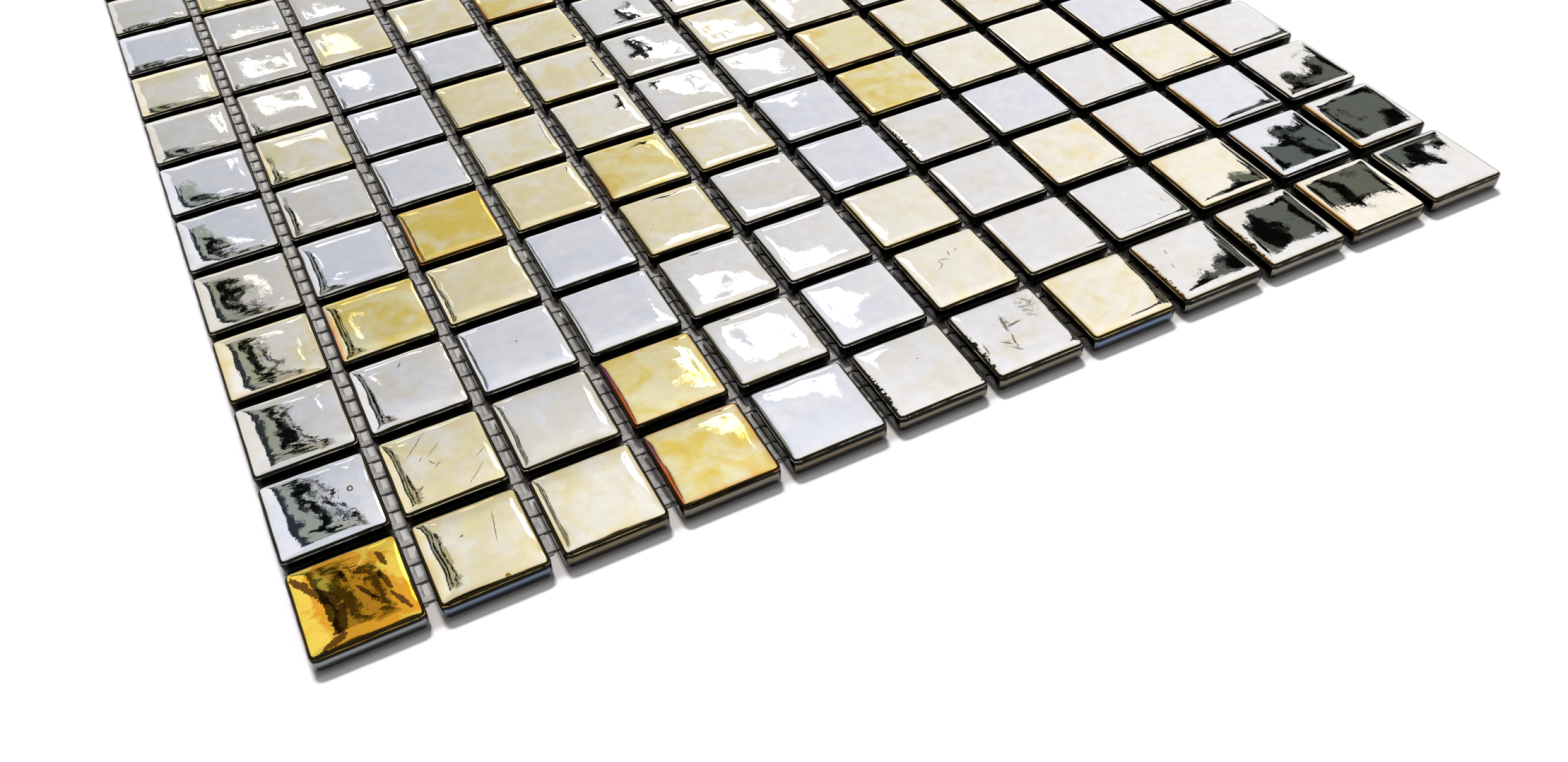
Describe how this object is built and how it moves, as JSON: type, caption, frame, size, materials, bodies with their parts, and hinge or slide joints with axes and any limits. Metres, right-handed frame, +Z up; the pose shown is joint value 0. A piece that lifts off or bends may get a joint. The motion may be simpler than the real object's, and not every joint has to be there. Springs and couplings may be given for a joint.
{
  "type": "mosaic tile sheet",
  "caption": "Square sheet of small lustre-glazed glass mosaic tiles, spaced by even joints and held together by a glass-fibre mesh on the back.",
  "frame": {"origin": "middle of the underside of the mesh, which the sheet lies on", "axes": "+Z up through the face of the tiles, +X along the front edge of the sheet, +Y towards its back edge"},
  "size_m": [0.2976, 0.2976, 0.0055],
  "materials": {
    "gold_lustre": "deep gold metallic lustre on black glass",
    "yellow_lustre": "yellow metallic lustre on black glass",
    "champagne_lustre": "champagne metallic lustre on black glass",
    "silver_lustre": "silver metallic lustre on black glass",
    "blue_silver_lustre": "blue silver metallic lustre on black glass",
    "fibre_mesh": "resin-coated glass-fibre yarn"
  },
  "bodies": {
    "root": {"tiles_gold": "gold_lustre", "tiles_yellow": "yellow_lustre", "tiles_champagne": "champagne_lustre", "tiles_silver": "silver_lustre", "tiles_blue_silver": "blue_silver_lustre", "mesh_warp": "fibre_mesh", "mesh_weft": "fibre_mesh"}
  },
  "joints": []
}
